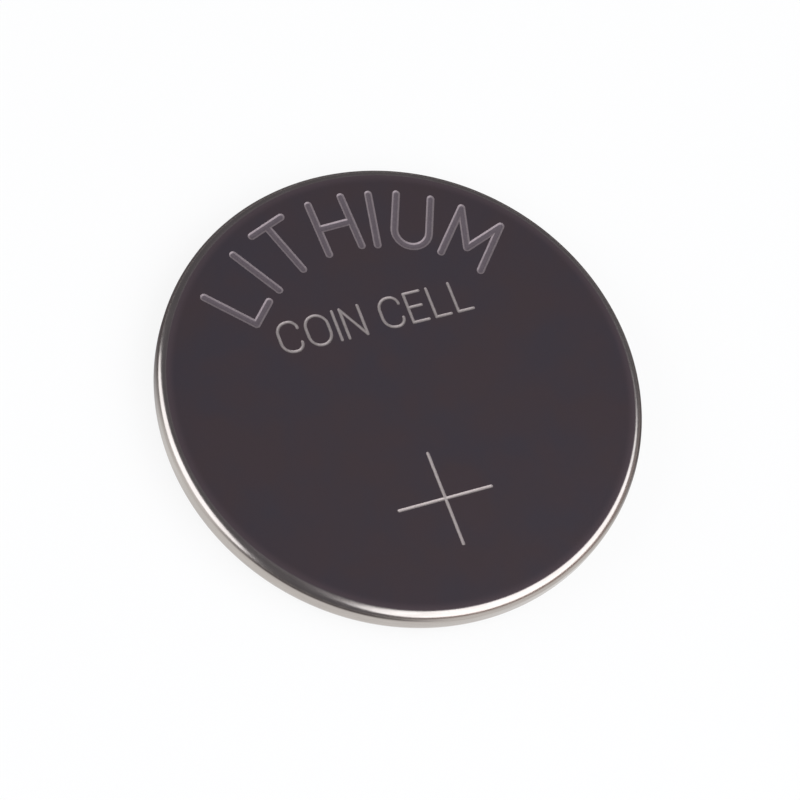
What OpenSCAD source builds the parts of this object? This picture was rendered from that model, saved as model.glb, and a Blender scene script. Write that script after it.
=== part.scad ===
// Lithium coin cell, 20 mm across and 1.6 mm high, lying on its negative face.
// Sheet-metal can and cap are crimped around a plastic gasket. The stack of anode,
// separator, cathode and collector fills the height between their inner faces.
// +Z runs from the negative face to the positive face. All sizes are millimetres.

/* [Cell] */
// Diameter across the can
cell_d = 20; // [16:0.1:25]
// Height from the negative face to the positive face
cell_h = 1.6; // [1.35:0.05:3.2]

/* [Positive can] */
// Sheet thickness of the can
can_t = 0.25; // [0.18:0.01:0.3]
// Outside radius of the bend between the positive face and the side wall
can_corner_r = 0.4; // [0.32:0.01:0.5]
// Outside radius of the curl that folds the side wall over the gasket
curl_r = 0.7; // [0.58:0.01:0.85]
// Flat stretch of the lip past its curl
lip_w = 0.12; // [0.05:0.01:0.2]
// Depth of the lip behind the negative face
lip_setback = 0.1; // [0.05:0.01:0.15]

/* [Negative cap] */
// Sheet thickness of the cap
cap_t = 0.2; // [0.12:0.01:0.24]
// Outside radius of the bend around the negative face
cap_edge_r = 0.3; // [0.24:0.01:0.36]
// Radius of the hollow where the neck bends into the shoulder
neck_bend_r = 0.08; // [0.04:0.01:0.12]
// Width of the shoulder that the crimp holds, from the neck to the skirt's outside
shoulder_w = 0.65; // [0.55:0.01:0.9]

/* [Sealing gasket] */
// Thickness between the can and the cap, along the wall and round the curl
gasket_t = 0.25; // [0.2:0.01:0.3]
// Thickness of the foot between the can's inner face and the skirt's edge
foot_t = 0.2; // [0.12:0.01:0.26]
// Thickness of the groove's inner wall
groove_wall_t = 0.25; // [0.15:0.01:0.3]
// Clearance between the groove's inner wall and the shoulder
groove_gap = 0.15; // [0.05:0.01:0.25]
// Height of the bead that fills the slot between the lip and the neck
bead_h = 0.12; // [0.06:0.01:0.16]
// Radius of the bead's two edges
bead_edge_r = 0.08; // [0.03:0.01:0.1]

/* [Anode, separator and cathode] */
// Thickness of the lithium anode
anode_t = 0.25; // [0.15:0.01:0.35]
// Clearance between the anode's edge and the neck
anode_gap = 0.65; // [0.3:0.05:2]
// Thickness of the separator
separator_t = 0.15; // [0.05:0.01:0.2]
// Clearance between the separator's edge and the neck
separator_gap = 0.15; // [0.05:0.01:0.5]
// Clearance between the cathode pellet's edge and the neck
pellet_gap = 0.8; // [0.4:0.05:2]

/* [Cathode collector] */
// Thickness of the expanded sheet
collector_t = 0.1; // [0.05:0.01:0.15]
// Clearance between the collector's edge and the pellet's edge
collector_gap = 0.65; // [0.3:0.05:2]
// Width of the plain rim around the openings
collector_rim_w = 0.6; // [0.3:0.05:1.5]
// Length of one diamond opening
opening_l = 2.2; // [1.5:0.1:3]
// Width of one diamond opening
opening_w = 1.2; // [0.8:0.1:2]
// Width of the strand between neighbouring openings
strand_w = 0.35; // [0.2:0.05:0.6]

/* [Hidden] */
// Facets of a full turn, and of an arc in a section
turn_facets = 180;
arc_facets = 64;
// Overshoot of a cut past the faces that it opens
cut = 0.5;

// Can: outside, inside and lip
can_r = cell_d / 2;
can_in_r = can_r - can_t;
can_in_z = cell_h - can_t;
can_in_corner_r = can_corner_r - can_t;
curl_in_r = curl_r - can_t;
lip_z = lip_setback;
lip_in_z = lip_z + can_t;
lip_r = can_r - curl_r - lip_w;

// Cap: its skirt and shoulder keep the gasket's thickness from the can
skirt_r = can_in_r - gasket_t;
skirt_in_r = skirt_r - cap_t;
skirt_end_z = can_in_z - foot_t;
shoulder_z = lip_in_z + gasket_t;
shoulder_in_z = shoulder_z + cap_t;
skirt_bend_r = max(curl_in_r - gasket_t, 0);
skirt_in_bend_r = max(skirt_bend_r - cap_t, 0);
neck_r = skirt_r - shoulder_w;
neck_in_r = neck_r - cap_t;

// Gasket: its foot, groove and bead
foot_r = skirt_in_r - groove_wall_t;
groove_z = shoulder_in_z + groove_gap;
bead_z = lip_in_z - bead_h;

// Stack: each piece lies on the one below, and the pellet takes the height that is left
anode_z = cap_t;
anode_r = neck_in_r - anode_gap;
separator_z = anode_z + anode_t;
separator_r = neck_in_r - separator_gap;
pellet_z = separator_z + separator_t;
pellet_r = neck_in_r - pellet_gap;
collector_z = can_in_z - collector_t;
pellet_t = collector_z - pellet_z;
collector_r = pellet_r - collector_gap;

// Pitches that keep the strand's width square to the diamonds' sides
opening_slant = norm([opening_l, opening_w]);
pitch_x = opening_l + strand_w * opening_slant / opening_w;
pitch_y = opening_w + strand_w * opening_slant / opening_l;

// What a rounded edge leaves of its square corner. The corner is at the origin, the
// solid lies to its left and above it, and the waste reaches past both faces.
module edge_waste_section(edge_r) {
    difference() {
        translate([-edge_r, -cut]) square([edge_r + cut, edge_r + cut]);
        translate([-edge_r, edge_r]) circle(edge_r, $fn = arc_facets);
    }
}

// Half section of a solid disc from z0 to z1, with its lower and upper edges rounded
module disc_section(r, z0, z1, low_r = 0, high_r = 0) {
    difference() {
        translate([0, z0]) square([r, z1 - z0]);
        if (low_r > 0) translate([r, z0]) edge_waste_section(low_r);
        if (high_r > 0) translate([r, z1]) mirror([0, 1]) edge_waste_section(high_r);
    }
}

// Space inside the can, which the gasket fills out to the wall
module can_cavity_section() {
    disc_section(can_in_r, lip_in_z, can_in_z, curl_in_r, can_in_corner_r);
}

// Block inside the gasket, which the cap's shoulder and skirt line
module skirt_section() {
    disc_section(skirt_r, shoulder_z, skirt_end_z, skirt_bend_r);
}

// Corner at r, z between neck and shoulder, down to an arc about its bend's centre
module neck_corner_section(r, z, arc_r) {
    difference() {
        translate([r, z - arc_r]) square(arc_r);
        translate([r + arc_r, z - arc_r]) circle(arc_r, $fn = arc_facets);
    }
}

module positive_can() {
    color("#48423f")
    rotate_extrude($fn = turn_facets)
    difference() {
        disc_section(can_r, lip_z, cell_h, curl_r, can_corner_r);
        can_cavity_section();
        translate([0, lip_z - cut]) square([lip_r, can_t + 2 * cut]);
    }
}

// Bead that shows in the slot between the lip and the neck
module bead_section() {
    bead_w = lip_r - neck_r;
    translate([lip_r, bead_z]) difference() {
        translate([-bead_w, 0]) square([bead_w, bead_h + gasket_t / 2]);
        edge_waste_section(bead_edge_r);
        translate([-bead_w, 0]) mirror([1, 0]) edge_waste_section(bead_edge_r);
    }
}

// One moulding lines the can from its foot, round the curl to the bead. Its groove
// takes the skirt's edge.
module sealing_gasket() {
    color("#26262a")
    rotate_extrude($fn = turn_facets)
    union() {
        difference() {
            union() {
                can_cavity_section();
                bead_section();
            }
            skirt_section();
            square([neck_r, cell_h]);
            translate([0, shoulder_z]) square([foot_r, cell_h]);
            neck_corner_section(neck_r, shoulder_z, neck_bend_r);
        }
        translate([foot_r, groove_z]) square([groove_wall_t, can_in_z - groove_z]);
    }
}

module negative_cap() {
    in_edge_r = max(cap_edge_r - cap_t, 0);
    color("#b9b6b0")
    rotate_extrude($fn = turn_facets)
    difference() {
        union() {
            disc_section(neck_r, 0, shoulder_in_z, cap_edge_r);
            skirt_section();
            neck_corner_section(neck_r, shoulder_z, neck_bend_r);
        }
        disc_section(neck_in_r, cap_t, cell_h, in_edge_r);
        disc_section(skirt_in_r, shoulder_in_z, cell_h, skirt_in_bend_r);
        neck_corner_section(neck_in_r, shoulder_in_z, neck_bend_r + cap_t);
    }
}

// Plain round layer of the stack
module layer(r, z, t) {
    translate([0, 0, z]) cylinder(r = r, h = t, $fn = turn_facets);
}

module lithium_anode() {
    color("#c9ccd0") layer(anode_r, anode_z, anode_t);
}

module separator() {
    color("#f0efe9") layer(separator_r, separator_z, separator_t);
}

module cathode_pellet() {
    color("#2b2a2a") layer(pellet_r, pellet_z, pellet_t);
}

// Diamond openings in staggered rows, kept inside the plain rim
module cathode_collector() {
    reach = collector_r - collector_rim_w;
    rows = ceil(2 * reach / pitch_y);
    columns = ceil(reach / pitch_x);
    half = [opening_l, opening_w] / 2;
    color("#a8a9a6")
    difference() {
        layer(collector_r, collector_z, collector_t);
        for (j = [-rows:rows], i = [-columns:columns]) {
            middle = [(i + (abs(j) % 2) / 2) * pitch_x, j * pitch_y / 2];
            if (norm([abs(middle.x) + half.x, middle.y]) < reach
                && norm([middle.x, abs(middle.y) + half.y]) < reach) {
                translate([middle.x, middle.y, collector_z - cut])
                    linear_extrude(collector_t + 2 * cut)
                    polygon([[half.x, 0], [0, half.y], [-half.x, 0], [0, -half.y]]);
            }
        }
    }
}

positive_can();
sealing_gasket();
negative_cap();
lithium_anode();
separator();
cathode_pellet();
cathode_collector();
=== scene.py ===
import bmesh
import bpy
import numpy as np
from mathutils import Matrix, Quaternion, Vector
from mathutils.geometry import delaunay_2d_cdt


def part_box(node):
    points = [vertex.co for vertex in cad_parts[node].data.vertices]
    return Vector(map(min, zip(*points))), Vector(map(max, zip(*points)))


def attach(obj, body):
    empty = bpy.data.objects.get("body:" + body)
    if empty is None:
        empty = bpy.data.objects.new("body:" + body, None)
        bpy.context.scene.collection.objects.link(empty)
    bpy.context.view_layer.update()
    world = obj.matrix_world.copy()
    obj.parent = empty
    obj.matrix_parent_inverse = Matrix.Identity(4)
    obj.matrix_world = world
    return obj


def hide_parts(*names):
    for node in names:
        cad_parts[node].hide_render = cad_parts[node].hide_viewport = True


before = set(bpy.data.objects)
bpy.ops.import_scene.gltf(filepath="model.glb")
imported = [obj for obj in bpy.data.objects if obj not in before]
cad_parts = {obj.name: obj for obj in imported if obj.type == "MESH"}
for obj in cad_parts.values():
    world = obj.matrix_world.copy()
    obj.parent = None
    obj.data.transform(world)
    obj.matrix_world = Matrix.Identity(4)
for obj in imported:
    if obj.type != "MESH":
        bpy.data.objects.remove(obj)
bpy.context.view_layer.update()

mm = 0.001  # everything is worked out in mm and degrees, the meshes are in metres
samePoint = 1e-6  # points of a section or a stroke closer than this are one
mergeWithin = 0.0001  # and so are the corners of a mesh, at poles and seams
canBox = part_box("positive_can")
topZ = canBox[1].z / mm  # positive face
canR = canBox[1].x / mm
lipZ = canBox[0].z / mm  # under side of the curled lip


# Sections

def unit(vectors):
    return vectors / np.linalg.norm(vectors, axis=-1, keepdims=True)


# Path through rows of (x, y, bend radius). Each corner becomes the arc of its radius that
# touches both sides: its centre lies radius / sin(half angle) along the corner's bisector.
def bendPath(corners, stepDegrees=6.0, closed=False):
    rows = np.array(corners, float)
    points, radii = rows[:, :2], rows[:, 2]
    back = unit(np.roll(points, 1, 0) - points)
    ahead = unit(np.roll(points, -1, 0) - points)
    half = np.arccos(np.clip((back * ahead).sum(1), -1, 1)) / 2
    turn = np.sign(back[:, 1] * ahead[:, 0] - back[:, 0] * ahead[:, 1]) * (np.pi - 2 * half)
    if not closed:
        radii[[0, -1]] = 0
    pieces = []
    for i, radius in enumerate(radii):
        if radius == 0:
            pieces.append(points[i:i + 1])
            continue
        centre = points[i] + unit(back[i] + ahead[i]) * radius / np.sin(half[i])
        start = points[i] + back[i] * radius / np.tan(half[i]) - centre
        count = int(np.ceil(abs(turn[i]) / np.radians(stepDegrees))) + 1
        angles = np.arctan2(start[1], start[0]) + np.linspace(0, turn[i], count)
        pieces.append(centre + radius * np.stack([np.cos(angles), np.sin(angles)], 1))
    path = np.concatenate(pieces)
    apart = np.linalg.norm(np.diff(path, axis=0), axis=1) > samePoint  # arcs may meet end to end
    return path[np.append(True, apart)]


# Surface of two parameters: place along the section, and angle round the axis.
# x = r cos(angle), y = r sin(angle), z = height. A point at r = 0 closes it as a pole.
def lathe(section, segments, closed=False):
    angles = np.linspace(0, 2 * np.pi, segments, endpoint=False)[:, None]
    r, z = section[:, 0], section[:, 1]
    grid = np.stack([r * np.cos(angles), r * np.sin(angles), z + 0 * angles], -1)
    count = len(section)
    i = np.arange(count if closed else count - 1)
    j = np.arange(segments)[:, None]
    here, there = (j * count), ((j + 1) % segments * count)
    step = (i + 1) % count
    quads = np.stack([here + i, there + i, there + step, here + step], -1)
    return grid.reshape(-1, 3), quads.reshape(-1, 4)


# Circle of points about the axis, radius (cos(angle), sin(angle))
def circle(radius, segments):
    angles = np.linspace(0, 2 * np.pi, segments, endpoint=False)
    return radius * np.stack([np.cos(angles), np.sin(angles)], 1)


# Mesh in metres from points in mm, with its doubles merged. Edges sharper than the given
# angle stay crisp.
def makePiece(name, points, faces, materials, slots=None, crispDegrees=12.0):
    mesh = bpy.data.meshes.new(name)
    mesh.from_pydata((points * mm).tolist(), [], faces)
    for material in materials:
        mesh.materials.append(material)
    if slots is not None:
        mesh.polygons.foreach_set("material_index", slots)
    shape = bmesh.new()
    shape.from_mesh(mesh)
    bmesh.ops.remove_doubles(shape, verts=shape.verts, dist=mergeWithin * mm)
    shape.to_mesh(mesh)
    shape.free()
    mesh.shade_smooth()
    mesh.set_sharp_from_angle(angle=np.radians(crispDegrees))
    piece = bpy.data.objects.new(name, mesh)
    bpy.context.scene.collection.objects.link(piece)
    return piece


# Materials

layerShare = 0.55  # strength of each finer layer of a noise beside the one before
usualRange = (0.3, 0.7)  # where nearly all values of a noise lie


# sRGB hex value to linear red, green, blue and full alpha
def linearColour(code):
    srgb = np.array([int(code[i:i + 2], 16) for i in (1, 3, 5)]) / 255
    linear = np.where(srgb <= 0.04045, srgb / 12.92, ((srgb + 0.055) / 1.055) ** 2.4)
    return (*linear.tolist(), 1.0)


# Scale of a noise whose features are this many mm across
def perMm(size):
    return 1 / (size * mm)


# Node with its settings and inputs. An input is a plain value, a socket, or another node,
# which is linked by the first of its outputs that is in use.
def addNode(tree, kind, inputs={}, **settings):
    node = tree.nodes.new("ShaderNode" + kind)
    for name, value in settings.items():
        setattr(node, name, value)
    for name, value in inputs.items():
        if isinstance(value, bpy.types.Node):
            value = next(socket for socket in value.outputs if socket.enabled)
        if isinstance(value, bpy.types.NodeSocket):
            tree.links.new(value, node.inputs[name])
        else:
            node.inputs[name].default_value = value
    return node


def newMaterial(name):
    material = bpy.data.materials.new(name)
    material.use_nodes = True
    tree = material.node_tree
    tree.nodes.clear()
    place = addNode(tree, "TexCoord").outputs["Object"]
    return material, tree, place


# Colour that goes from one hex value to another as a noise rises through a range
def unevenColour(tree, noise, first, second, span=usualRange):
    share = addNode(tree, "MapRange", {"Value": noise, "From Min": span[0], "From Max": span[1]})
    return addNode(tree, "Mix", {"Factor": share, "A": linearColour(first),
                   "B": linearColour(second)}, data_type="RGBA")


# Last nodes of a piece's material: a bump from the relief, the surface and the output
def closeMaterial(tree, relief, finish, surface):
    bump = addNode(tree, "Bump", {"Height": relief, "Strength": finish["bump"],
                   "Distance": finish["bumpDepth"] * mm})
    shader = addNode(tree, "BsdfPrincipled", {"Normal": bump, **surface})
    addNode(tree, "OutputMaterial", {"Surface": shader})


# What a plain finish has unless it says otherwise
plainFinish = {"metallic": 0.0, "stretch": (1, 1, 1), "layerShare": 0.65, "bump": 0.6}


# Surface with one grain, which its colour and its bump both follow
def grainyMaterial(name, ownFinish):
    finish = {**plainFinish, **ownFinish}
    material, tree, place = newMaterial(name)
    drawn = addNode(tree, "Mapping", {"Vector": place, "Scale": finish["stretch"]})
    marks = addNode(tree, "TexNoise", {"Vector": drawn, "Scale": perMm(finish["grain"]),
                    "Detail": 4.0, "Roughness": finish["layerShare"]})
    colour = unevenColour(tree, marks, finish["dark"], finish["pale"])
    closeMaterial(tree, marks, finish, {"Base Color": colour, "Metallic": finish["metallic"],
                  "Roughness": finish["roughness"]})
    return material


# Marking: strokes are paths in a capital's own square, 0 to 1 high, with bend radii

letters = {
    "L": (0.50, [[(0, 1, 0), (0, 0, 0), (0.5, 0, 0)]]),
    "I": (0.0, [[(0, 1, 0), (0, 0, 0)]]),
    "T": (0.66, [[(0, 1, 0), (0.66, 1, 0)], [(0.33, 0.97, 0), (0.33, 0, 0)]]),
    "H": (0.62, [[(0, 1, 0), (0, 0, 0)], [(0.62, 1, 0), (0.62, 0, 0)],
                 [(0.02, 0.5, 0), (0.6, 0.5, 0)]]),
    "U": (0.62, [[(0, 1, 0), (0, 0, 0.31), (0.62, 0, 0.31), (0.62, 1, 0)]]),
    "M": (0.76, [[(0, 0, 0), (0, 1, 0), (0.38, 0.3, 0), (0.76, 1, 0), (0.76, 0, 0)]]),
    "C": (0.66, [[(0.66, 0.74, 0), (0.66, 1, 0.25), (0, 1, 0.36), (0, 0, 0.36),
                  (0.66, 0, 0.25), (0.66, 0.26, 0)]]),
    "O": (0.72, [[(0.36, 0, 0), (0.72, 0, 0.36), (0.72, 1, 0.36), (0, 1, 0.36), (0, 0, 0.36),
                  (0.36, 0, 0)]]),
    "N": (0.60, [[(0, 0, 0), (0, 1, 0), (0.6, 0, 0), (0.6, 1, 0)]]),
    "E": (0.52, [[(0.52, 1, 0), (0, 1, 0), (0, 0, 0), (0.52, 0, 0)],
                 [(0.02, 0.52, 0), (0.45, 0.52, 0)]]),
    "+": (1.0, [[(0, 0.5, 0), (1, 0.5, 0)], [(0.5, 0, 0), (0.5, 1, 0)]]),
}

markTurn = 90.0  # from +Y to the top of the words
letterStep = 9.0  # between the points of a letter's bends
floorEdgeDepth = 0.8  # of the full depth, where a cut's floor meets its sloping edge

# The two steels of each mark are those of its edge and its floor: name, pale, dull, roughness
arcWord = {
    "text": "LITHIUM", "middleR": 7.55, "capHeight": 2.36, "gap": 0.93,
    "halfWidth": 0.165, "floorShare": 0.56, "depth": 0.03,
    "steels": [("etchedSteelEdge", "#9e9395", "#857a7d", 0.5),
               ("etchedSteelBand", "#766c71", "#61585d", 0.5)],
}
straightWord = {
    "text": "COIN CELL", "left": -4.25, "base": 2.54, "capHeight": 1.32, "gap": 0.33, "space": 0.5,
    "halfWidth": 0.064, "floorShare": 0.5, "depth": 0.022,
    "steels": [("lightlyScribedSteelEdge", "#988f8d", "#837a78", 0.45),
               ("lightlyScribedSteelLine", "#aea6a2", "#9a928f", 0.4)],
}
plusSign = {
    "centre": (-0.15, -5.06), "size": 4.0, "halfWidth": 0.068, "floorShare": 0.5, "depth": 0.022,
    "steels": [("scribedSteelEdge", "#aba19e", "#938987", 0.45),
               ("scribedSteelLine", "#c3bab5", "#ada4a0", 0.4)],
}


# Steel laid bare by etching or scribing: a dull, slightly uneven grey, paler than the face's
# painted dark.
# Its grain is drawn coarser than the real one so that it shows.
cutFinish = {"grain": 0.05, "layerShare": 0.7, "metallic": 0.7, "bump": 0.3, "bumpDepth": 0.004}


def cutSteel(name, pale, dull, roughness):
    material, tree, place = newMaterial(name)
    marks = addNode(tree, "TexNoise", {"Vector": place, "Scale": perMm(cutFinish["grain"]),
                    "Detail": 3.0, "Roughness": cutFinish["layerShare"]})
    colour = unevenColour(tree, marks, dull, pale)
    closeMaterial(tree, marks, cutFinish, {"Base Color": colour,
                  "Metallic": cutFinish["metallic"], "Roughness": roughness})
    return material


# Each letter stands square to its own radius, centred on the arc about the disc's middle
def arcStrokes(word):
    height, radius = word["capHeight"], word["middleR"]
    widths = np.array([letters[c][0] * height for c in word["text"]])
    middles = np.cumsum(widths + word["gap"]) - widths / 2
    middles -= (middles[0] - widths[0] / 2 + middles[-1] + widths[-1] / 2) / 2
    strokes = []
    for c, width, middle in zip(word["text"], widths, middles):
        lean = middle / radius
        right = np.array([np.cos(lean), -np.sin(lean)])
        up = np.array([np.sin(lean), np.cos(lean)])
        for corners in letters[c][1]:
            path = bendPath(corners, letterStep) * height - (width / 2, height / 2)
            strokes.append(path[:, :1] * right + path[:, 1:] * up + radius * up)
    return strokes


def straightStrokes(word):
    strokes, x = [], word["left"]
    for c in word["text"]:
        if c == " ":
            x += word["space"]
            continue
        width, shapes = letters[c]
        for corners in shapes:
            strokes.append(bendPath(corners, letterStep) * word["capHeight"] + (x, word["base"]))
        x += width * word["capHeight"] + word["gap"]
    return strokes


def signStrokes(sign):
    size = sign["size"]
    return [bendPath(s) * size + sign["centre"] - size / 2 for s in letters["+"][1]]


marking = [(arcWord, arcStrokes), (straightWord, straightStrokes), (plusSign, signStrokes)]


# Left side of a path at a distance, and the round cap at its end. On the inside of a bend
# it is the crossing of both sides, at distance / cos(half the turn) along the bisector, and
# on the outside an arc about the corner, in steps of one angle.
def strokeSide(path, distance, closed, stepDegrees=12.0):
    run = unit(np.diff(path, axis=0))
    heading = np.arctan2(run[:, 1], run[:, 0])
    turn = (np.diff(heading, append=heading[0]) + np.pi) % (2 * np.pi) - np.pi
    if not closed:
        turn[-1] = -np.pi
    count = np.ceil(-turn / np.radians(stepDegrees)).astype(int) + 1
    isArc = count > 2
    count[~isArc] = 1
    corner = np.repeat(np.arange(len(turn)), count)
    order = np.arange(len(corner)) - (np.cumsum(count) - count)[corner]
    share = np.where(isArc[corner], order / np.maximum(count - 1, 1)[corner], 0.5)
    angle = heading[corner] + np.pi / 2 + share * turn[corner]
    reach = np.where(isArc, distance, distance / np.cos(turn / 2))[corner, None]
    points = path[1:][corner] + reach * np.stack([np.cos(angle), np.sin(angle)], 1)
    first = path[:1] + distance * np.array([-run[0, 1], run[0, 0]])
    return points if closed else np.concatenate([first, points])


# One loop round an open path, or a loop on each side of a closed one
def strokeOutlines(path, distance):
    closed = np.allclose(path[0], path[-1])
    sides = [strokeSide(p, distance, closed) for p in (path, path[::-1])]
    return sides if closed else [np.concatenate([sides[0][:-1], sides[1][:-1]])]


# Distance of each point to the nearest stroke's centre line, all points against all runs
def distanceTo(points, strokes):
    start = np.concatenate([s[:-1] for s in strokes])
    run = np.concatenate([np.diff(s, axis=0) for s in strokes])
    offset = points[:, None] - start
    share = np.clip((offset * run).sum(-1) / (run ** 2).sum(-1), 0, 1)
    return np.linalg.norm(offset - share[..., None] * run, axis=-1).min(1)


# Depth of a cut: full at its centre line, a little less at the floor's edge, none outside
def cutDepth(distance, word):
    width = word["halfWidth"]
    return np.interp(distance, [0, width * word["floorShare"], width],
                     [word["depth"], floorEdgeDepth * word["depth"], 0])


# Flat disc of the positive face out to guardR, with the marking cut in. Outlines of the
# cuts and of their floors are kept as edges, and each point sinks by its distance.
def engravedFace(guardR, segments):
    c, s = np.cos(np.radians(markTurn)), np.sin(np.radians(markTurn))
    turn = np.array([[c, s], [-s, c]])
    marks = [(word, [path @ turn for path in strokesOf(word)]) for word, strokesOf in marking]
    loops = [circle(guardR, segments)]
    for word, strokes in marks:
        for share in (1.0, word["floorShare"]):
            for path in strokes:
                loops += strokeOutlines(path, share * word["halfWidth"])
    edges, start = [], 0
    for loop in loops:
        i = np.arange(len(loop))
        edges.append(np.stack([start + i, start + (i + 1) % len(loop)], 1))
        start += len(loop)
    for word, strokes in marks:
        for path in strokes:
            i = np.arange(len(path) - 1)
            edges.append(np.stack([start + i, start + i + 1], 1))
            loops.append(path)
            start += len(path)
    found = delaunay_2d_cdt(np.concatenate(loops).tolist(), np.concatenate(edges).tolist(), [], 0,
                            samePoint, False)
    points, faces = np.array(found[0]), np.array(found[2])
    a, b, c = (points[faces[:, k]] for k in range(3))
    area = (b - a)[:, 0] * (c - a)[:, 1] - (b - a)[:, 1] * (c - a)[:, 0]
    faces[area < 0] = faces[area < 0][:, ::-1]
    middles = (a + b + c) / 3
    depth = np.zeros(len(points))
    slots = np.zeros(len(faces), int)
    for k, (word, strokes) in enumerate(marks):
        depth = np.maximum(depth, cutDepth(distanceTo(points, strokes), word))
        away = distanceTo(middles, strokes) / word["halfWidth"]
        slots[away < 1] = 1 + 2 * k  # after the can's own steel, two for each mark
        slots[away < word["floorShare"]] = 2 + 2 * k
    print("marking:", len(faces), "triangles")
    return np.column_stack([points, topZ - depth]), faces, slots


# Pieces

can = {
    "sheet": 0.25, "cornerR": 0.4, "curlR": 0.7, "lipFlat": 0.12, "lipEdgeR": 0.03,
    "guardR": 9.5,  # flat disc that holds the marking
    "segments": 384,
    "plate": "#b9b2ac",  # bright nickel on the bends and the wall
    "plateWorn": "#ada6a0",
    "plateRoughness": 0.21,
    "streak": 0.14,  # polishing lines: noise of this size, drawn out round the wall
    "streakStretch": (0.12, 0.12, 3),
    "streakRange": (0.35, 0.7),
    "face": "#52494a",  # painted dark reflection on the bare steel face, with faint clouds of two other tints
    "faceTint": "#4e494d",
    "cloud": 2.4,
    "cloudRange": (0.35, 0.65),
    "faceWarm": "#52494b",
    "warmCloud": 1.3,
    "warmRange": (0.5, 0.72),
    "warmShare": 0.6,
    "faceRimSheen": "#5f5557",  # painted sheen: the face paler towards the bend
    "faceRimSheenFrom": 9.25,  # radius that the painted sheen rises from
    "faceRoughness": 0.18,
    "faceEdgeR": 9.635,  # where the face's painted dark ends on the bend
    "faceEdgeBlend": 0.035,
    "faceDepth": 0.12,  # how far below the face it may reach
    "grain": 0.06,  # of the satin, coarser than the real one so that it shows
    "roughnessSpread": 0.03,
    "bump": 0.12,
    "bumpDepth": 0.004,
}
wallInR = canR - can["sheet"]
baseInZ = topZ - can["sheet"]
lipInZ = lipZ + can["sheet"]
cornerInR = can["cornerR"] - can["sheet"]
curlInR = can["curlR"] - can["sheet"]
lipR = canR - can["curlR"] - can["lipFlat"]


# Stamped steel with electroplated nickel. Bends and wall are bright and mirror soft boxes
# and floor; the face's colour is painted dark, a painted dark reflection, and dims what it
# mirrors.
def platedCanSteel():
    material, tree, place = newMaterial("nickelPlatedStampedSteel")
    height = addNode(tree, "SeparateXYZ", {"Vector": place}).outputs["Z"]
    flat = addNode(tree, "VectorMath", {0: place, 1: (1, 1, 0)}, operation="MULTIPLY")
    radius = addNode(tree, "VectorMath", {0: flat}, operation="LENGTH")
    edge, soft = can["faceEdgeR"] * mm, can["faceEdgeBlend"] * mm
    inside = addNode(tree, "MapRange", {"Value": radius, "From Min": edge - soft,
                     "From Max": edge + soft, "To Min": 1, "To Max": 0},
                     interpolation_type="SMOOTHSTEP")
    low = (topZ - can["faceDepth"]) * mm
    above = addNode(tree, "MapRange", {"Value": height, "From Min": low - soft,
                    "From Max": low + soft}, interpolation_type="SMOOTHSTEP")
    onFace = addNode(tree, "Math", {0: inside, 1: above}, operation="MULTIPLY")

    # Painted dark reflection: the face's colour, varied by clouds of tint
    clouds = addNode(tree, "TexNoise", {"Vector": place, "Scale": perMm(can["cloud"]),
                     "Detail": 2.0, "Roughness": layerShare})
    paintedFaceColour = unevenColour(tree, clouds, can["faceTint"], can["face"], can["cloudRange"])
    warmClouds = addNode(tree, "TexNoise", {"Vector": place, "Scale": perMm(can["warmCloud"]),
                         "Detail": 1.0, "Roughness": layerShare})
    warmFrom, warmTo = can["warmRange"]
    warm = addNode(tree, "MapRange", {"Value": warmClouds, "From Min": warmFrom,
                   "From Max": warmTo, "To Max": can["warmShare"]})
    # Painted sheen: the face's colour grows paler towards the bend
    rimSheen = addNode(tree, "MapRange", {"Value": radius, "From Min": can["faceRimSheenFrom"] * mm,
                      "From Max": edge}, interpolation_type="SMOOTHSTEP")
    for share, name in ((warm, "faceWarm"), (rimSheen, "faceRimSheen")):
        paintedFaceColour = addNode(tree, "Mix", {"Factor": share, "A": paintedFaceColour,
                             "B": linearColour(can[name])}, data_type="RGBA")

    flattened = addNode(tree, "Mapping", {"Vector": place, "Scale": can["streakStretch"]})
    streaks = addNode(tree, "TexNoise", {"Vector": flattened, "Scale": perMm(can["streak"]),
                      "Detail": 3.0, "Roughness": layerShare})
    plateColour = unevenColour(tree, streaks, can["plate"], can["plateWorn"], can["streakRange"])
    fine = addNode(tree, "TexNoise", {"Vector": place, "Scale": perMm(can["grain"]),
                   "Detail": 2.0, "Roughness": layerShare})
    spread = can["roughnessSpread"]
    patches = addNode(tree, "MapRange", {"Value": fine, "From Min": usualRange[0],
                      "From Max": usualRange[1], "To Min": -spread, "To Max": spread})

    roughness = addNode(tree, "Mix", {"Factor": onFace, "A": can["plateRoughness"],
                        "B": can["faceRoughness"]}, data_type="FLOAT")
    roughness = addNode(tree, "Math", {0: roughness, 1: patches}, operation="ADD")
    relief = addNode(tree, "Mix", {"Factor": onFace, "A": streaks, "B": fine}, data_type="FLOAT")
    colour = addNode(tree, "Mix", {"Factor": onFace, "A": plateColour, "B": paintedFaceColour},
                     data_type="RGBA")
    closeMaterial(tree, relief, can, {"Base Color": colour, "Metallic": 1.0,
                  "Roughness": roughness})
    return material


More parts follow.
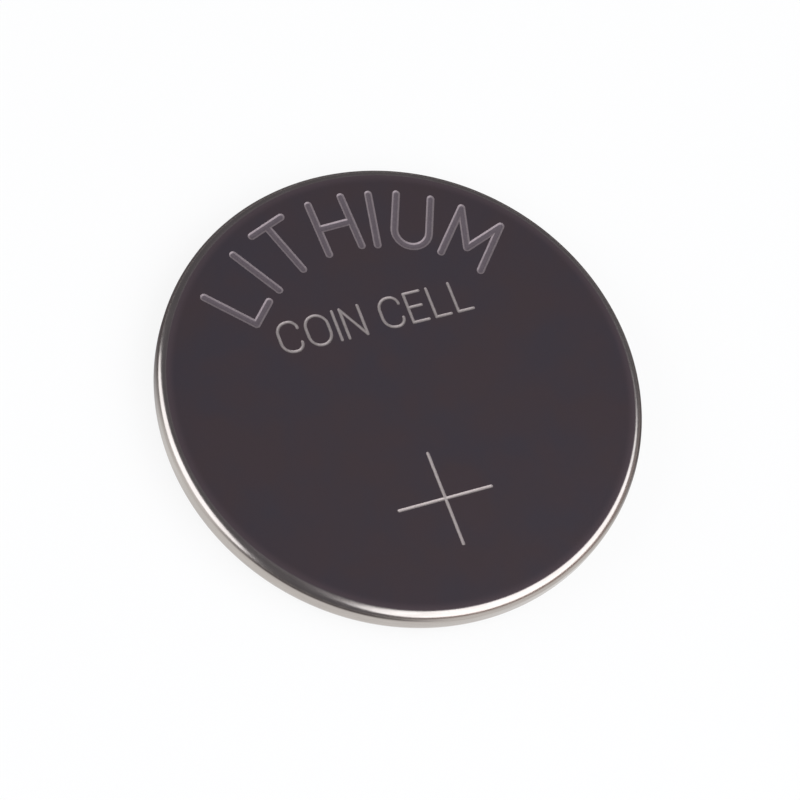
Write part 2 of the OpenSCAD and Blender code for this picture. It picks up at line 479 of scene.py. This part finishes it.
# Deep-drawn cup, from the ring round its engraved face, down the wall, round the curl to
# the lip and back along the inside to the middle
def makeCan():
    section = bendPath([
        (can["guardR"], topZ, 0), (canR, topZ, can["cornerR"]), (canR, lipZ, can["curlR"]),
        (lipR, lipZ, can["lipEdgeR"]), (lipR, lipInZ, can["lipEdgeR"]),
        (wallInR, lipInZ, curlInR), (wallInR, baseInZ, cornerInR), (0, baseInZ, 0)])
    points, quads = lathe(section, can["segments"])
    facePoints, triangles, slots = engravedFace(can["guardR"], can["segments"])
    faces = quads[:, ::-1].tolist() + (triangles + len(points)).tolist()
    steels = [cutSteel(*steel) for word, strokesOf in marking for steel in word["steels"]]
    allSlots = np.concatenate([np.zeros(len(quads), int), slots])
    piece = makePiece("positiveCan", np.concatenate([points, facePoints]), faces,
                      [platedCanSteel()] + steels, allSlots)
    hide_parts("positive_can")
    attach(piece, "root")


gasket = {
    "thickness": 0.25, "foot": 0.2, "grooveWall": 0.25, "grooveGap": 0.15,
    "beadHeight": 0.12, "beadEdgeR": 0.08,
    "dark": "#1d1e22", "pale": "#2b2c31", "grain": 0.2, "roughness": 0.42, "bumpDepth": 0.003,
}
cap = {
    "sheet": 0.2, "edgeR": 0.3, "neckBendR": 0.08, "shoulder": 0.65, "rimEdgeR": 0.03,
    "dull": "#b4b0a8", "bright": "#c1bdb5", "roughness": (0.24, 0.32),
    "line": 0.16, "lineStretch": (0.06, 1, 1),  # noise of this size, drawn out along the sheet
    "grain": 0.07, "bump": 0.25, "bumpDepth": 0.004,
}
skirtR = wallInR - gasket["thickness"]
skirtInR = skirtR - cap["sheet"]
skirtEndZ = baseInZ - gasket["foot"]
shoulderZ = lipInZ + gasket["thickness"]
skirtBendR = curlInR - gasket["thickness"]
neckR = skirtR - cap["shoulder"]


# Ring with its bead beside the lip, round the curl, up the wall, and the groove in its foot.
# Moulded plastic under dark sealant: near black, with a soft sheen.
def makeGasket():
    beadZ = lipInZ - gasket["beadHeight"]
    footInR = skirtInR - gasket["grooveWall"]
    grooveZ = shoulderZ + cap["sheet"] + gasket["grooveGap"]
    section = bendPath([
        (neckR, beadZ, gasket["beadEdgeR"]), (lipR, beadZ, gasket["beadEdgeR"]),
        (lipR, lipInZ, 0), (wallInR, lipInZ, curlInR), (wallInR, baseInZ, cornerInR),
        (footInR, baseInZ, 0), (footInR, grooveZ, 0),
        (skirtInR, grooveZ, 0), (skirtInR, skirtEndZ, 0), (skirtR, skirtEndZ, 0),
        (skirtR, shoulderZ, skirtBendR), (neckR, shoulderZ, cap["neckBendR"])], closed=True)
    points, quads = lathe(section, can["segments"], closed=True)
    plastic = grainyMaterial("mouldedPolypropylene", gasket)
    piece = makePiece("sealingGasket", points, quads.tolist(), [plastic])
    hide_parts("sealing_gasket")
    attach(piece, "root")


# Nickel-plated steel of the cap: tumbled to an even satin, so it blurs what it mirrors, with
# the rolled sheet's faint straight lines still in it
def satinCapSteel():
    material, tree, place = newMaterial("tumbledNickelSteel")
    fine = addNode(tree, "TexNoise", {"Vector": place, "Scale": perMm(cap["grain"]),
                   "Detail": 3.0, "Roughness": layerShare})
    drawn = addNode(tree, "Mapping", {"Vector": place, "Scale": cap["lineStretch"]})
    lines = addNode(tree, "TexNoise", {"Vector": drawn, "Scale": perMm(cap["line"]),
                    "Detail": 3.0, "Roughness": layerShare})
    colour = unevenColour(tree, lines, cap["dull"], cap["bright"])
    smoothest, roughest = cap["roughness"]
    roughness = addNode(tree, "MapRange", {"Value": fine, "From Min": usualRange[0],
                        "From Max": usualRange[1], "To Min": smoothest, "To Max": roughest})
    closeMaterial(tree, fine, cap, {"Base Color": colour, "Metallic": 1.0,
                  "Roughness": roughness})
    return material


# Pressed dish: negative face, neck, shoulder and skirt, one sheet thick all the way
def makeCap():
    neckInR, shoulderInZ = neckR - cap["sheet"], shoulderZ + cap["sheet"]
    section = bendPath([
        (0, 0, 0), (neckR, 0, cap["edgeR"]), (neckR, shoulderZ, cap["neckBendR"]),
        (skirtR, shoulderZ, skirtBendR), (skirtR, skirtEndZ, cap["rimEdgeR"]),
        (skirtInR, skirtEndZ, cap["rimEdgeR"]), (skirtInR, shoulderInZ, 0),
        (neckInR, shoulderInZ, cap["neckBendR"] + cap["sheet"]),
        (neckInR, cap["sheet"], cap["edgeR"] - cap["sheet"]), (0, cap["sheet"], 0)])
    points, quads = lathe(section, can["segments"])
    piece = makePiece("negativeCap", points, quads.tolist(), [satinCapSteel()])
    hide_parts("negative_cap")
    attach(piece, "root")


# Stack inside the cell, which keeps its own solids
stack = {
    # soft metal, dulled by the dry room's air: pale grey with lines from the rolls
    "lithium_anode": ("rolledLithium", {
        "dark": "#b4b7bb", "pale": "#cfd2d4", "grain": 0.4, "stretch": (1, 0.05, 1),
        "metallic": 0.9, "roughness": 0.45, "bumpDepth": 0.004}),
    # short fibres bonded to a felt: matt white
    "separator": ("nonwovenPolypropylene", {
        "dark": "#dedcd3", "pale": "#f6f5ef", "grain": 0.15, "roughness": 0.9, "bumpDepth": 0.03}),
    # pressed powder: matt black and faintly grainy
    "cathode_pellet": ("pressedManganeseDioxide", {
        "dark": "#1d1c1c", "pale": "#343232", "grain": 0.12, "roughness": 0.85,
        "bumpDepth": 0.02}),
    # sheet slit and stretched to a net: bare grey metal, a little uneven
    "cathode_collector": ("expandedStainlessSteel", {
        "dark": "#96968f", "pale": "#aeaea8", "grain": 0.3, "metallic": 1.0, "roughness": 0.35,
        "bumpDepth": 0.004}),
}


def dressStack():
    for node, (name, finish) in stack.items():
        material = grainyMaterial(name, finish)
        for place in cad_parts[node].material_slots:
            place.material = material


# Studio: a white table in a dark tent with two soft boxes

photoCamera = {
    "turn": 45.0,  # azimuth
    "elevation": 61.71, "roll": 27.07, "distance": 115.1, "lens": 128.5,
    "shift": (-0.0003, -0.0078), "clip": (1.0, 2000.0),
}


# Unit vector at a bearing clockwise from the camera's line of sight, seen from above
def towards(bearing, elevation):
    b, e, t = np.radians([bearing, elevation, photoCamera["turn"]])
    x, y = np.sin(b) * np.cos(e), np.cos(b) * np.cos(e)
    return Vector((x * np.cos(t) - y * np.sin(t), x * np.sin(t) + y * np.cos(t), np.sin(e)))


# Columns of the camera's turn: right and up, leaned by the roll, and back to the camera
def makeCamera():
    back = towards(180.0, photoCamera["elevation"])
    right = towards(90.0, 0.0)
    up = back.cross(right)
    c, s = np.cos(np.radians(photoCamera["roll"])), np.sin(np.radians(photoCamera["roll"]))
    turn = Matrix([right * c + up * s, up * c - right * s, back]).transposed()
    middle = Vector((0, 0, topZ / 2 * mm))
    lens = bpy.data.cameras.new("photoCamera")
    lens.lens = photoCamera["lens"]
    lens.shift_x, lens.shift_y = photoCamera["shift"]
    lens.clip_start, lens.clip_end = (reach * mm for reach in photoCamera["clip"])
    camera = bpy.data.objects.new("photoCamera", lens)
    place = Matrix.Translation(middle + back * photoCamera["distance"] * mm)
    camera.matrix_world = place @ turn.to_4x4()
    bpy.context.scene.collection.objects.link(camera)
    bpy.context.scene.camera = camera


# Oval lamps of even radiance. Bearing is from the camera's line of sight, and the lean turns
# the oval about its own middle.
softBoxes = {
    "rightSoftBox": {"bearing": 97.7, "elevation": 51.2, "lean": 12.4, "distance": 300.0,
                     "width": 560.0, "height": 323.0, "radiance": 2.35},
    "leftSoftBox": {"bearing": -121.5, "elevation": 8.0, "lean": 0.0, "distance": 300.0,
                    "width": 434.0, "height": 500.0, "radiance": 2.3},
}
lampColour = "#f6f9ff"


def makeSoftBoxes():
    for name, box in softBoxes.items():
        width, height = box["width"], box["height"]
        light = bpy.data.lights.new(name, "AREA")
        light.shape, light.size, light.size_y = "ELLIPSE", width * mm, height * mm
        light.color = linearColour(lampColour)[:3]
        light.energy = box["radiance"] * np.pi * (np.pi / 4) * width * height * mm ** 2
        lamp = bpy.data.objects.new(name, light)
        direction = towards(box["bearing"], box["elevation"])
        lamp.location = direction * box["distance"] * mm
        upright = direction.to_track_quat("Z", "Y")
        lean = Quaternion((0, 0, 1), np.radians(box["lean"]))
        lamp.rotation_euler = (upright @ lean).to_euler()
        lamp.visible_camera = False
        bpy.context.scene.collection.objects.link(lamp)


# White room: how bright its colour is seen, and how brightly it lights the cell
room = {"colour": "#ffffff", "seen": 0.975, "light": 0.45}
table = {
    "radius": 600.0, "segments": 96, "paper": "#f9f9f9",
    "shade": 0.12,  # share of the paper's own shading that is seen near the cell
    "fade": (22.0, 90.0),  # radii between which it fades out
}


# 1 for rays that see the background itself, from the camera or off metal and glass
def seenDirectly(tree):
    path = addNode(tree, "LightPath").outputs
    some = addNode(tree, "Math", {0: path["Is Camera Ray"], 1: path["Is Glossy Ray"]},
                   operation="MAXIMUM")
    return addNode(tree, "Math", {0: some, 1: path["Is Transmission Ray"]}, operation="MAXIMUM")


def makeWorld():
    world = bpy.data.worlds.new("whiteRoom")
    world.use_nodes = True
    tree = world.node_tree
    tree.nodes.clear()
    strength = addNode(tree, "MapRange", {"Value": seenDirectly(tree), "To Min": room["light"],
                       "To Max": room["seen"]})
    sky = addNode(tree, "Background", {"Color": linearColour(room["colour"]),
                  "Strength": strength})
    addNode(tree, "OutputWorld", {"Surface": sky})
    bpy.context.scene.world = world


# Matt white table. Seen directly it is mostly the background's white, and all of it
# further out, so no horizon shows and the cell's shadow stays.
def makeTable():
    material, tree, place = newMaterial("mattWhiteTable")
    away = addNode(tree, "VectorMath", {0: place}, operation="LENGTH")
    near, far = table["fade"]
    fade = addNode(tree, "MapRange", {"Value": away, "From Min": near * mm, "From Max": far * mm,
                   "To Min": 1 - table["shade"]}, interpolation_type="SMOOTHSTEP")
    share = addNode(tree, "Math", {0: fade, 1: seenDirectly(tree)}, operation="MULTIPLY")
    paper = addNode(tree, "BsdfDiffuse", {"Color": linearColour(table["paper"])})
    glow = addNode(tree, "Emission", {"Color": linearColour(room["colour"]),
                   "Strength": room["seen"]})
    shader = addNode(tree, "MixShader", {"Fac": share, 1: paper, 2: glow})
    addNode(tree, "OutputMaterial", {"Surface": shader})
    rim = circle(table["radius"], table["segments"])
    points = np.column_stack([rim, np.zeros(len(rim))])
    makePiece("table", points, [list(range(len(rim)))], [material])


# Keeps a stage mesh to mirror reflections alone
def showInMirrorsOnly(piece):
    piece.visible_camera = piece.visible_diffuse = piece.visible_shadow = False
    piece.visible_transmission = piece.visible_volume_scatter = False


# 1 near a direction, given as bearing and elevation, within the first angle of the spread,
# and 0 outside the second
def nearDirection(tree, place, at, spread):
    along = addNode(tree, "VectorMath", {0: place}, operation="NORMALIZE")
    dot = addNode(tree, "VectorMath", {0: along, 1: towards(*at)}, operation="DOT_PRODUCT")
    full, none = np.cos(np.radians(spread)).tolist()
    return addNode(tree, "MapRange", {"Value": dot, "From Min": none, "From Max": full},
                   interpolation_type="SMOOTHSTEP")


tent = {
    "radius": 500.0, "rings": 24, "segments": 48, "cloth": "#6c6a70", "sideCloth": "#716765",
    "faceGlow": 4.15, "faceGlowAt": (0.0, 62.0), "faceGlowSpread": (9.0, 18.0),
    "sideGlow": 3.0, "sideGlowAt": (95.0, 0.0), "sideGlowSpread": (25.0, 65.0),
}


# Upper half of a sphere, r = R cos(rise), z = R sin(rise). The cloth is dim, and less so
# high up behind the cell, where the face mirrors it, and below the right soft box.
def makeTent():
    material, tree, place = newMaterial("darkTentCloth")
    high = nearDirection(tree, place, tent["faceGlowAt"], tent["faceGlowSpread"])
    low = nearDirection(tree, place, tent["sideGlowAt"], tent["sideGlowSpread"])
    highGlow = addNode(tree, "MapRange", {"Value": high, "To Min": 1, "To Max": tent["faceGlow"]})
    lowGlow = addNode(tree, "MapRange", {"Value": low, "To Max": tent["sideGlow"] - 1})
    glow = addNode(tree, "Math", {0: highGlow, 1: lowGlow}, operation="ADD")
    colour = addNode(tree, "Mix", {"Factor": low, "A": linearColour(tent["cloth"]),
                     "B": linearColour(tent["sideCloth"])}, data_type="RGBA")
    cloth = addNode(tree, "Emission", {"Color": colour, "Strength": glow})
    addNode(tree, "OutputMaterial", {"Surface": cloth})
    rise = np.radians(np.linspace(0, 90, tent["rings"]))
    section = tent["radius"] * np.stack([np.cos(rise), np.sin(rise)], 1)
    points, quads = lathe(section, tent["segments"])
    showInMirrorsOnly(makePiece("tent", points, quads.tolist(), [material]))


# Painted shade: grey sheets on the table round the cell, seen only in mirrors
tableShadeCard = {
    "innerR": 10.05, "outerR": 60.0, "z": 0.01, "segments": 96, "colour": "#6c676b",
    "backAt": (-18.0, 0.0), "backSpread": (82.0, 117.0),
    "frontAt": (175.0, 0.0), "frontSpread": (12.0, 38.0),
    "frontFrom": (11.3, 13.0),  # radii between which the front painted shade comes up
}


# Painted shade of the table near the cell, seen only in mirrors: a grey sheet round the back of
# the cell, and a smaller one before it, which begins a little further out. The rim mirrors both.
# Flat ring that fades out between them.
def makeTableShadeCard():
    material, tree, place = newMaterial("paintedTableShade")
    back = nearDirection(tree, place, tableShadeCard["backAt"], tableShadeCard["backSpread"])
    front = nearDirection(tree, place, tableShadeCard["frontAt"], tableShadeCard["frontSpread"])
    away = addNode(tree, "VectorMath", {0: place}, operation="LENGTH")
    inner, outer = tableShadeCard["frontFrom"]
    beyond = addNode(tree, "MapRange", {"Value": away, "From Min": inner * mm,
                     "From Max": outer * mm}, interpolation_type="SMOOTHSTEP")
    front = addNode(tree, "Math", {0: front, 1: beyond}, operation="MULTIPLY")
    share = addNode(tree, "Math", {0: back, 1: front}, operation="MAXIMUM")
    paintedShadeGrey = addNode(tree, "Emission", {"Color": linearColour(tableShadeCard["colour"])})
    clear = addNode(tree, "BsdfTransparent")
    shader = addNode(tree, "MixShader", {"Fac": share, 1: clear, 2: paintedShadeGrey})
    addNode(tree, "OutputMaterial", {"Surface": shader})
    section = np.array([(tableShadeCard["innerR"], tableShadeCard["z"]), (tableShadeCard["outerR"], tableShadeCard["z"])])
    points, quads = lathe(section, tableShadeCard["segments"])
    showInMirrorsOnly(makePiece("tableShadeCard", points, quads.tolist(), [material]))


makeCan()
print("can done")
makeGasket()
makeCap()
print("gasket and cap done")
dressStack()
print("stack dressed")
makeCamera()
makeSoftBoxes()
makeWorld()
makeTable()
makeTent()
makeTableShadeCard()
print("studio done")

view = bpy.context.scene.view_settings
view.view_transform = "Standard"
